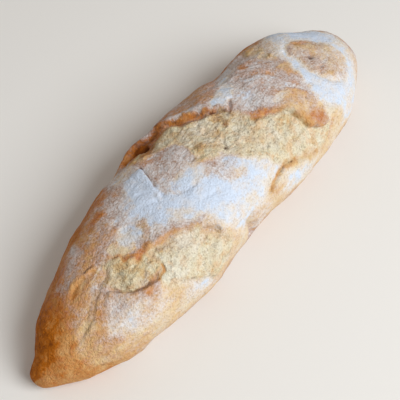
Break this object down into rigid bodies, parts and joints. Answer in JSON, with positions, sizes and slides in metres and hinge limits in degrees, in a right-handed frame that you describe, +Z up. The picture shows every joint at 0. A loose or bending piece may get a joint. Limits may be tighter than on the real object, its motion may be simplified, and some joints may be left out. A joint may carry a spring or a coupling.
{
  "type": "baguette",
  "caption": "Short rustic baguette with a thick middle, one pointed end, one blunt end, torn slashes across the crown and a flat sole to lie on",
  "frame": {"origin": "middle of the loaf's bounding box, at the height of the surface its sole lies on", "axes": "+X along the loaf towards its blunt end, +Y towards the flank that carries the raised ear of crust, +Z up"},
  "size_m": [0.26, 0.0768, 0.05],
  "materials": {
    "crust": "dry matt baked crust, golden to orange brown, dusted with white flour, paler and rougher in the torn slashes"
  },
  "bodies": {
    "root": {"loaf": "crust"}
  },
  "joints": []
}
